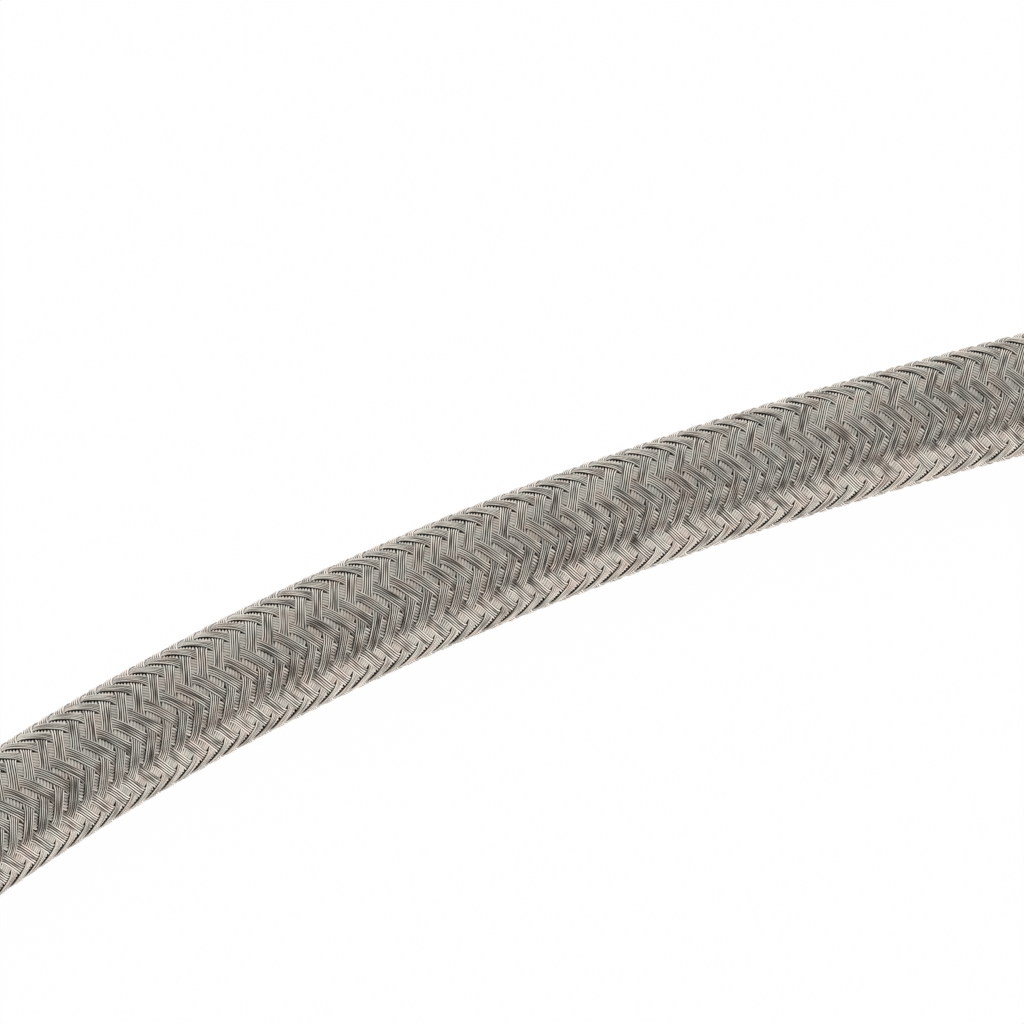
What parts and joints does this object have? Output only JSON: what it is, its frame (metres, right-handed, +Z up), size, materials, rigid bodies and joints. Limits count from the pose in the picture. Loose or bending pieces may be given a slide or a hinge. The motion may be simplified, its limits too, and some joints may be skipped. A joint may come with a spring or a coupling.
{
  "type": "brake hose",
  "caption": "Short brake hose of woven steel wire over a plastic liner, with a crimped banjo fitting at each end, lying in one gentle bend.",
  "frame": {"origin": "on the surface that the hose lies on, midway between the two banjo fittings", "axes": "+X from the left fitting to the right one, +Y towards the outside of the hose's bend, +Z up, along the banjo fittings' bolt holes"},
  "size_m": [0.3332, 0.0691, 0.0095],
  "materials": {
    "liner_plastic": "smooth, natural white",
    "braided_steel": "woven bright wire",
    "fitting_steel": "turned, satin"
  },
  "bodies": {
    "root": {"liner": "liner_plastic", "braid": "braided_steel", "ferrule_left": "fitting_steel", "ferrule_right": "fitting_steel", "banjo_left": "fitting_steel", "banjo_right": "fitting_steel"}
  },
  "joints": []
}
